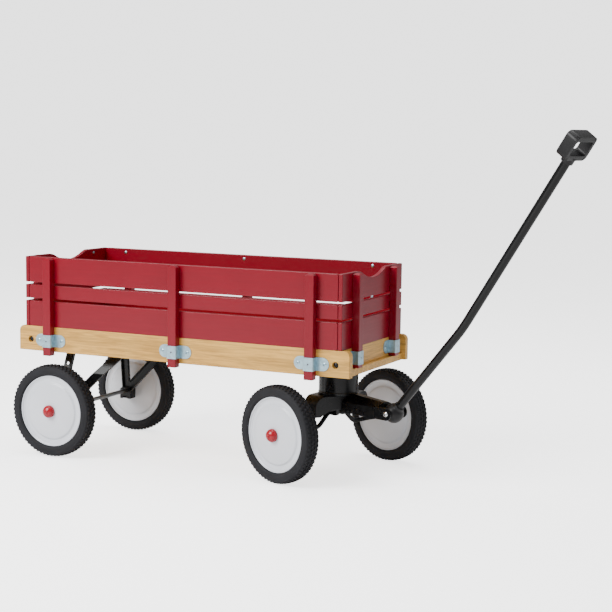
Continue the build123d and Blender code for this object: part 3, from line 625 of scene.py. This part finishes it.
class WAGON_OT_panels(bpy.types.Operator):
    """Paint the slats and stakes of the four panels"""
    bl_idname = "wagon.panels"
    bl_label = "Painted panels"

    def execute(self, context):
        for panel in PANELS:
            along = 0 if panel in ("left", "right") else 1
            for row in ("top", "middle", "bottom"):
                coat(gloss_painted_wood(along), f"{panel}_panel_slat_{row}")
            coat(gloss_painted_wood(2), f"{panel}_panel_stakes")
        return {"FINISHED"}


# ---- fittings --------------------------------------------------------------------------------------

SCREW_STEPS = 20
HEAD_RISE = 0.53         # a screw head's height, its shank's radius and its dome's radius,
SHANK_SHARE = 0.44       # each as a share of the head's radius
DOME_SHARE = 1.15
RECESS_LENGTH = 1.15     # the cross recess, as shares of the head's radius and height
RECESS_WIDTH = 0.26
RECESS_DEPTH = 1.2


def loose_boxes(node):
    """Lowest and highest corners of each separate solid of a node."""
    pieces = copy_of(frame["nodes"][node], f"{node}_parts")
    pieces.parent = None
    bpy.ops.object.mode_set(mode="EDIT")
    bpy.ops.mesh.select_all(action="SELECT")
    bpy.ops.mesh.remove_doubles(threshold=1e-6)
    bpy.ops.mesh.separate(type="LOOSE")
    bpy.ops.object.mode_set(mode="OBJECT")
    parts = list(bpy.context.selected_objects)
    boxes = []
    for part in parts:
        corners = [part.matrix_world @ vertex.co for vertex in part.data.vertices]
        boxes.append((Vector([min(c[i] for c in corners) for i in range(3)]),
                      Vector([max(c[i] for c in corners) for i in range(3)])))
    bpy.ops.object.delete()
    return boxes


def cross_screw(name, shank, length, head, rise):
    """A domed screw with a cross recess, its head's underside at the origin and its tip below."""
    dome = arc((0, rise - head * DOME_SHARE), head * DOME_SHARE, 90, 30, 5)
    outline = [(0.0, rise)] + [(r * head / dome[-1][0], z) for r, z in dome[1:]]
    outline = [(min(r, head), max(z, 0.25 * rise)) for r, z in outline]
    outline += [(head, 0.0), (shank, 0.0), (shank, -length + 2 * shank), (0.0, -length)]
    piece = lathe(name, outline, SCREW_STEPS)
    cutters = []
    for turn in (0, 90):
        clear_selection()
        bpy.ops.mesh.primitive_cube_add(size=1)
        cutter = named("recess")
        cutter.scale = (head * RECESS_LENGTH, head * RECESS_WIDTH, rise * RECESS_DEPTH)
        cutter.location = (0, 0, rise)
        cutter.rotation_euler = (0, 0, math.radians(turn))
        bpy.ops.object.transform_apply(location=True, rotation=True, scale=True)
        cutters.append(cutter)
    for cutter in cutters:
        apply_modifier(piece, "BOOLEAN", object=cutter, operation="DIFFERENCE", solver="EXACT")
        bpy.data.objects.remove(cutter)
    return smooth(piece, 30)


def screws_on(node, body, outward):
    """Stand cross-recessed screws where a node's plain ones are, heads facing outwards."""
    master = None
    copies = []
    for low, high in loose_boxes(node):
        facing = outward((low + high) / 2)
        axis = max(range(3), key=lambda i: abs(facing[i]))
        across = [i for i in range(3) if i != axis]
        head = (high[across[0]] - low[across[0]]) / 2
        rise, length = head * HEAD_RISE, high[axis] - low[axis]
        if master is None:
            master = cross_screw(f"{node}_cross_screw", head * SHANK_SHARE, length - rise, head, rise)
        seat = (low + high) / 2
        seat[axis] = (high[axis] - rise) if facing[axis] > 0 else (low[axis] + rise)
        turn = Vector((0, 0, 1)).rotation_difference(facing).to_matrix().to_4x4()
        piece = copy_of(master, f"{node}_screw")
        copies.append(place(piece, Matrix.Translation(seat) @ turn))
    bpy.data.objects.remove(master)
    group = joined(copies, f"{node}_detailed")
    return finish(group, body, "zinc_steel", zinc_plated_steel(), node)


class WAGON_OT_brackets(bpy.types.Operator):
    """Zinc plate the stake brackets and enamel the rail and gear bolts black"""
    bl_idname = "wagon.brackets"
    bl_label = "Stake brackets"

    def execute(self, context):
        coat(zinc_plated_steel(), "stake_brackets")
        coat(black_stoved_enamel(), "rail_bolts", "gear_bolts")
        return {"FINISHED"}


class WAGON_OT_screws(bpy.types.Operator):
    """Put cross-recessed screws in the panels and the brackets"""
    bl_idname = "wagon.screws"
    bl_label = "Screws"

    def execute(self, context):
        inward = {"left": (0, -1, 0), "right": (0, 1, 0), "front": (-1, 0, 0), "rear": (1, 0, 0)}
        for panel, facing in inward.items():
            screws_on(f"{panel}_panel_screws", f"{panel}_panel", lambda centre, f=facing: Vector(f))
        screws_on("bracket_screws", "bed", bracket_facing)
        return {"FINISHED"}


def bracket_facing(centre):
    """Side brackets face sideways and end brackets face along the wagon."""
    if abs(centre.x) > box("end_board_front")[0].x:
        return Vector((math.copysign(1, centre.x), 0, 0))
    return Vector((0, math.copysign(1, centre.y), 0))


# ---- wheels ------------------------------------------------------------------------------------------

TREAD_ROWS = (-3, -1, 1, 3)    # places of the rows across the tread, in steps of ROW_STEP
ROW_STEP = 0.105               # share of the tyre's width
SHOULDER_TILT = math.radians(-16)
BLOCK_TAPER = (1, 0.82, 0.8)   # a block's top against its foot: depth, length and width


def tyre_outline(sizes):
    """Half section and its mirror: bead, sidewall with a rib, shoulder and a crowned tread."""
    half, base = TYRE_WIDTH / 2, TYRE_RADIUS - sizes.tread_depth * 0.9
    bead = DISC_RIM_HALF - 2 * sizes.lip_roll - 0.1 * MM
    foot = RIM_RADIUS + 0.2 * MM
    seat = RIM_RADIUS - 7.8 * MM
    crown = half * 0.76
    wall = [
        (seat, bead), (foot, bead), (foot + 0.6 * MM, bead + 2.6 * MM), (foot + 1.6 * MM, half - 3.4 * MM),
        (foot + 3.6 * MM, half - 2.2 * MM), (foot + 4.4 * MM, half - 1.2 * MM),
        (foot + 5.4 * MM, half - 1.1 * MM), (foot + 6.2 * MM, half - 1.0 * MM),
        (foot + 10 * MM, half - 0.2 * MM), (foot + 14 * MM, half - 0.1 * MM),
        (foot + 18 * MM, half - 0.9 * MM), (foot + 20.4 * MM, half - 1.9 * MM),
        (foot + 21.2 * MM, half - 1.7 * MM), (base - 3.2 * MM, crown + 2.2 * MM),
        (base - 1.8 * MM, crown + 0.2 * MM), (base - 0.7 * MM, crown * 0.72),
        (base - 0.15 * MM, crown * 0.36),
    ]
    return wall + [(base, 0.0)] + [(r, -z) for r, z in reversed(wall)]


def tread_row(sizes, offset, start):
    """One ring of tapered blocks on the crown."""
    clear_selection()
    bpy.ops.mesh.primitive_cube_add(size=1)
    block = named("tread_block")
    bpy.ops.object.mode_set(mode="EDIT")
    bpy.ops.transform.resize(value=(2 * sizes.tread_depth, sizes.block_length, sizes.block_width))
    bpy.ops.object.mode_set(mode="OBJECT")
    drop = 1.6 * MM * (offset / (TYRE_WIDTH / 2)) ** 2 / 0.36
    tilt = SHOULDER_TILT * offset / (TYRE_WIDTH / 2)
    bpy.ops.object.mode_set(mode="EDIT")
    select_faces(block, lambda centre, normal: normal.x > 0.9)
    bpy.ops.transform.resize(value=BLOCK_TAPER)
    bpy.ops.mesh.bevel(offset=0.35 * MM, segments=1)
    bpy.ops.object.mode_set(mode="OBJECT")
    reach = Matrix.Translation((TYRE_RADIUS - sizes.tread_depth - drop, 0, offset))
    place(block, Matrix.Rotation(start, 4, "Z") @ reach @ Matrix.Rotation(tilt, 4, "Y"))
    bpy.ops.object.empty_add(rotation=(0, 0, math.tau / sizes.tread_blocks))
    step = bpy.context.object
    apply_modifier(block, "ARRAY", count=sizes.tread_blocks, use_relative_offset=False,
                   use_object_offset=True, offset_object=step)
    bpy.data.objects.remove(step)
    return block


class WAGON_OT_tyres(bpy.types.Operator):
    """Turn the tyres and put four rows of tread blocks on each"""
    bl_idname = "wagon.tyres"
    bl_label = "Tyres"

    def execute(self, context):
        sizes = context.scene.wagon_wheels
        carcass = smooth(lathe("tyre_carcass", tyre_outline(sizes), WHEEL_STEPS), 40)
        pitch = math.tau / sizes.tread_blocks
        rows = [tread_row(sizes, row * TYRE_WIDTH * ROW_STEP, pitch / 2 * (index % 2))
                for index, row in enumerate(TREAD_ROWS)]
        master = joined([carcass] + rows, "tyre_master")
        for wheel in WHEELS:
            piece = place(copy_of(master, f"tyre_{wheel}"), wheel_place(wheel))
            finish(piece, f"wheel_{wheel}", "tyre_rubber", moulded_tyre_rubber(), f"wheel_{wheel}_tyre")
        bpy.data.objects.remove(master)
        return {"FINISHED"}


def disc_outline(sizes):
    """Section of a pressed wheel: rolled lips, a dished ring, a step and a shallow dome."""
    lip_r, lip_z = RIM_RADIUS - sizes.lip_roll, DISC_RIM_HALF - sizes.lip_roll
    roll = arc((lip_r, lip_z), sizes.lip_roll, -60, 200, 11)
    dish = [
        (lip_r - 2.6 * MM, lip_z - 1.4 * MM), (lip_r - 4.2 * MM, lip_z - 2.4 * MM),
        (lip_r - 7.5 * MM, lip_z - 3.2 * MM), (lip_r - 12 * MM, lip_z - 3.5 * MM),
        (lip_r - 15.5 * MM, lip_z - 3.3 * MM), (lip_r - 17 * MM, lip_z - 2.6 * MM),
        (lip_r - 18.3 * MM, lip_z - 1.0 * MM), (lip_r - 19.6 * MM, lip_z + 0.2 * MM),
        (lip_r - 21.6 * MM, lip_z + 0.8 * MM),
    ]
    inner_r, inner_z = dish[-1]
    dome = [(inner_r * (1 - t), inner_z + (DISC_HALF - inner_z) * (1 - (1 - t) ** 2))
            for t in (0.12, 0.25, 0.38, 0.5, 0.62, 0.74, 0.82)]
    hub = [(dome[-1][0], DISC_HALF), (AXLE_BORE, DISC_HALF)]
    face = roll + dish + dome + hub
    seat = [(RIM_RADIUS - 8 * MM, lip_z - 2.0 * MM)]
    upper = seat + face
    return upper + [(r, -z) for r, z in reversed(upper)]


class WAGON_OT_discs(bpy.types.Operator):
    """Turn the pressed steel wheels with their rolled lips and domed faces"""
    bl_idname = "wagon.discs"
    bl_label = "Wheel discs"

    def execute(self, context):
        outline = disc_outline(context.scene.wagon_wheels)
        master = smooth(lathe("disc_master", outline, WHEEL_STEPS), 50)
        for wheel in WHEELS:
            piece = place(copy_of(master, f"disc_{wheel}"), wheel_place(wheel))
            finish(piece, f"wheel_{wheel}", "white_enamel", white_stoved_enamel(), f"wheel_{wheel}_disc")
        bpy.data.objects.remove(master)
        return {"FINISHED"}


class WAGON_OT_hub_caps(bpy.types.Operator):
    """Turn the domed push-on hub caps"""
    bl_idname = "wagon.hub_caps"
    bl_label = "Hub caps"

    def execute(self, context):
        foot = DISC_HALF + CAP_GAP
        top = foot + CAP_LENGTH
        crown = top - 2.6 * MM - foot - 4 * MM
        shell = [(CAP_RADIUS * math.cos(math.radians(a)), foot + 4 * MM + crown * math.sin(math.radians(a)))
                 for a in (0, 12, 24, 36, 48, 60, 70)]
        nub = [(5.4 * MM, top - 2.4 * MM), (4.8 * MM, top - 1.0 * MM), (3.6 * MM, top - 0.3 * MM), (0.0, top)]
        outline = [(AXLE_BORE, foot), (CAP_RADIUS - 0.8 * MM, foot), (CAP_RADIUS, foot + 0.8 * MM)]
        outline += shell + nub + [(0.0, foot + 9 * MM), (AXLE_BORE, foot + 9 * MM)]
        master = smooth(lathe("cap_master", outline, 48), 40)
        for wheel in WHEELS:
            body = "bed" if wheel.startswith("rear") else "front_gear"
            piece = place(copy_of(master, f"hub_cap_{wheel}"), wheel_place(wheel))
            finish(piece, body, "red_plastic", glossy_moulded_plastic(), f"wheel_{wheel}_hub_cap")
        bpy.data.objects.remove(master)
        return {"FINISHED"}


# ---- running gear -----------------------------------------------------------------------------------

class WAGON_OT_running_gear(bpy.types.Operator):
    """Enamel the braces, turntable, bolster, front axle and yoke, and leave the axle bright"""
    bl_idname = "wagon.running_gear"
    bl_label = "Running gear"

    def execute(self, context):
        coat(black_stoved_enamel(), "rear_brace_left", "rear_brace_right", "turntable_cup",
             "front_bolster", "front_axle", "axle_clamps", "yoke", "handle_tube")
        coat(bright_drawn_steel(), "rear_axle", "kingpin")
        coat(zinc_plated_steel(), "thrust_washer", "wheel_spacers_front", "wheel_spacers_rear")
        coat(nickel_plate(), "yoke_rivet")
        return {"FINISHED"}


# ---- handle -------------------------------------------------------------------------------------------

def handle_frame(along):
    """The handle's line at a distance from the pivot: across, along the tube, and off it."""
    sizes = bpy.context.scene.wagon_handle
    pivot, across = joint("handle_lift")
    ahead = across.cross(Vector((0, 0, 1))).normalized()
    low = min(along, sizes.lower_length)
    high = max(along - sizes.lower_length, 0.0)
    slope = sizes.lower_angle if high == 0.0 else sizes.upper_angle

    def direction(angle):
        return ahead * math.cos(angle) + Vector((0, 0, 1)) * math.sin(angle)
    point = pivot + direction(sizes.lower_angle) * low + direction(sizes.upper_angle) * high
    tube = direction(slope)
    off = across.cross(tube).normalized()
    return Matrix.Translation(point) @ Matrix((across, tube, off)).transposed().to_4x4()


class WAGON_OT_handle_ball(bpy.types.Operator):
    """Turn the ball at the handle's foot, with the neck that takes the tube"""
    bl_idname = "wagon.handle_ball"
    bl_label = "Handle ball"

    def execute(self, context):
        bore = context.scene.wagon_handle.tube_radius + TUBE_GAP
        neck = bore + 2.6 * MM
        rise = math.degrees(math.acos(neck / BALL_RADIUS))
        shell = arc((0, 0), BALL_RADIUS, -90, rise - 3, 22)
        collar = [(neck + 0.3 * MM, BALL_RADIUS * 0.93), (neck, BALL_RADIUS * 1.08),
                  (neck - 0.7 * MM, BALL_RADIUS * 1.12), (bore, BALL_RADIUS * 1.12)]
        outline = shell + collar + [(bore, 12 * MM), (0.0, 12 * MM)]
        piece = smooth(lathe("handle_ball_moulded", outline, 64), 40)
        to_tube = Matrix.Rotation(math.radians(-90), 4, "X")
        place(piece, handle_frame(0.0) @ to_tube)
        finish(piece, "handle", "black_plastic", textured_moulded_plastic(), "handle_ball")
        return {"FINISHED"}


class WAGON_OT_handle_grip(bpy.types.Operator):
    """Shape the moulded D grip: hand bar, side walls and socketed foot"""
    bl_idname = "wagon.handle_grip"
    bl_label = "Handle grip"

    def execute(self, context):
        sizes = context.scene.wagon_handle
        clear_selection()
        bpy.ops.mesh.primitive_cube_add(size=1)
        loop = named("grip_loop")
        bpy.ops.object.mode_set(mode="EDIT")
        bpy.ops.transform.resize(value=(sizes.grip_width, sizes.grip_height, sizes.grip_depth))
        select_faces(loop, lambda centre, normal: abs(normal.z) > 0.9)
        bpy.ops.mesh.inset(thickness=sizes.side_wall, use_boundary=True)
        hole = sizes.grip_height - 2 * sizes.hand_bar
        bpy.ops.transform.resize(value=(1, hole / (sizes.grip_height - 2 * sizes.side_wall), 1))
        bpy.ops.mesh.bridge_edge_loops()
        bpy.ops.object.mode_set(mode="OBJECT")
        round_corners(loop, 12 * MM, 6 * MM, sizes)
        apply_modifier(loop, "BEVEL", width=3.4 * MM, segments=4, limit_method="ANGLE",
                       angle_limit=math.radians(50))
        bore = sizes.tube_radius + TUBE_GAP
        boss = lathe("grip_boss", [
            (bore, -14 * MM), (14 * MM, -14 * MM), (15 * MM, -13 * MM), (15.4 * MM, -2 * MM),
            (17 * MM, 2.5 * MM), (12 * MM, 6 * MM), (bore, 6 * MM)], 48)
        place(boss, Matrix.Rotation(math.radians(-90), 4, "X"))
        place(loop, Matrix.Translation((0, sizes.grip_height / 2, 0)))
        piece = joined([loop, boss], "handle_grip_moulded")
        smooth(piece, 40)
        place(piece, handle_frame(sizes.length))
        finish(piece, "handle", "black_plastic", textured_moulded_plastic(), "handle_grip")
        return {"FINISHED"}


def round_corners(loop, outer, inner, sizes):
    """Bevel the loop's front-to-back edges, more outside than in its hole."""
    for reach, inside in ((outer, False), (inner, True)):
        only(loop)
        bpy.ops.object.mode_set(mode="EDIT")
        bpy.ops.mesh.select_all(action="DESELECT")
        bpy.ops.mesh.select_mode(type="EDGE")
        bpy.ops.object.mode_set(mode="OBJECT")
        for edge in loop.data.edges:
            first, second = (loop.data.vertices[i].co for i in edge.vertices)
            through = abs(first.z - second.z) > sizes.grip_depth * 0.9
            within = abs(first.x) < sizes.grip_width / 2 - sizes.side_wall / 2
            edge.select = through and within == inside
        bpy.ops.object.mode_set(mode="EDIT")
        bpy.ops.mesh.bevel(offset=reach, segments=6)
        bpy.ops.object.mode_set(mode="OBJECT")


# ---- stage -------------------------------------------------------------------------------------------

FLOOR_SIZE = 60.0        # metres each way, past anything that the camera sees


def softbox(name, place_at, aim, size, power):
    data = bpy.data.lights.new(name, "AREA")
    data.shape, data.size, data.energy = "SQUARE", size, power
    light = bpy.data.objects.new(name, data)
    bpy.context.scene.collection.objects.link(light)
    light.location = place_at
    light.rotation_euler = (Vector(aim) - Vector(place_at)).to_track_quat("-Z", "Y").to_euler()


class WAGON_OT_stage(bpy.types.Operator):
    """Lay the floor and set up the camera and the soft light"""
    bl_idname = "wagon.stage"
    bl_label = "Studio"

    def execute(self, context):
        stage = context.scene.wagon_stage
        clear_selection()
        bpy.ops.mesh.primitive_plane_add(size=1)
        floor = named("studio_floor")
        bpy.ops.object.mode_set(mode="EDIT")
        bpy.ops.transform.resize(value=(FLOOR_SIZE, FLOOR_SIZE, 1))
        bpy.ops.transform.translate(value=(0, 0, GROUND))
        bpy.ops.object.mode_set(mode="OBJECT")
        floor.data.materials.append(studio_paper())
        softbox("key_light", (-1.6, -3.2, 2.6), (0, 0, 0), 2.4, stage.key_power)
        softbox("fill_light", (3.4, -2.4, 1.4), (0.2, 0, 0), 2.0, stage.fill_power)
        softbox("top_light", (0.2, 0.6, 3.4), (0, 0, 0), 3.0, stage.top_power)
        world = bpy.data.worlds.new("studio_surroundings")
        world.use_nodes = True
        sky = world.node_tree.nodes["Background"]
        sky.inputs["Color"].default_value = linear("#FFFFFF")
        seen = add_node(world.node_tree, "ShaderNodeLightPath").outputs["Is Camera Ray"]
        strength = between(world.node_tree, seen, stage.world_strength, stage.backdrop)
        world.node_tree.links.new(strength, sky.inputs["Strength"])
        context.scene.world = world
        add_camera(stage)
        return {"FINISHED"}


def add_camera(stage):
    """A camera at the given place, turned by its azimuth, elevation and roll."""
    data = bpy.data.cameras.new("wagon_camera")
    data.lens, data.sensor_width = stage.lens, 36.0
    camera = bpy.data.objects.new("wagon_camera", data)
    bpy.context.scene.collection.objects.link(camera)
    turn = (Matrix.Rotation(stage.azimuth, 4, "Z")
            @ Matrix.Rotation(math.radians(90) - stage.elevation, 4, "X")
            @ Matrix.Rotation(stage.roll, 4, "Z"))
    camera.matrix_world = Matrix.Translation(stage.camera_place) @ turn
    bpy.context.scene.camera = camera


# ---- the add-on ----------------------------------------------------------------------------------------

class WAGON_PT_sidebar(bpy.types.Panel):
    """Lists the wagon's pieces and their sizes and colours"""
    bl_idname = "WAGON_PT_sidebar"
    bl_label = "Wagon"
    bl_space_type = "VIEW_3D"
    bl_region_type = "UI"
    bl_category = "Wagon"

    def draw(self, context):
        for operator in OPERATORS:
            self.layout.operator(operator.bl_idname)
        for name in SETTINGS:
            group = getattr(context.scene, name)
            column = self.layout.column(align=True)
            for key in group.__annotations__:
                column.prop(group, key)


OPERATORS = (
    WAGON_OT_bed, WAGON_OT_panels, WAGON_OT_brackets, WAGON_OT_screws, WAGON_OT_tyres,
    WAGON_OT_discs, WAGON_OT_hub_caps, WAGON_OT_running_gear, WAGON_OT_handle_ball,
    WAGON_OT_handle_grip, WAGON_OT_stage,
)
SETTINGS = {
    "wagon_colours": WagonColours, "wagon_wheels": WagonWheelSizes,
    "wagon_handle": WagonHandleSizes, "wagon_stage": WagonStage,
}


def register():
    for group in SETTINGS.values():
        bpy.utils.register_class(group)
    for operator in OPERATORS:
        bpy.utils.register_class(operator)
    bpy.utils.register_class(WAGON_PT_sidebar)
    for name, group in SETTINGS.items():
        setattr(bpy.types.Scene, name, PointerProperty(type=group))


def unregister():
    for name in SETTINGS:
        delattr(bpy.types.Scene, name)
    bpy.utils.unregister_class(WAGON_PT_sidebar)
    for operator in reversed(OPERATORS):
        bpy.utils.unregister_class(operator)
    for group in reversed(list(SETTINGS.values())):
        bpy.utils.unregister_class(group)


def main():
    register()
    bpy.ops.wagon.bed()
    bpy.ops.wagon.panels()
    bpy.ops.wagon.brackets()
    bpy.ops.wagon.screws()
    bpy.ops.wagon.tyres()
    bpy.ops.wagon.discs()
    bpy.ops.wagon.hub_caps()
    bpy.ops.wagon.running_gear()
    bpy.ops.wagon.handle_ball()
    bpy.ops.wagon.handle_grip()
    bpy.ops.wagon.stage()


if __name__ == "__main__":
    main()
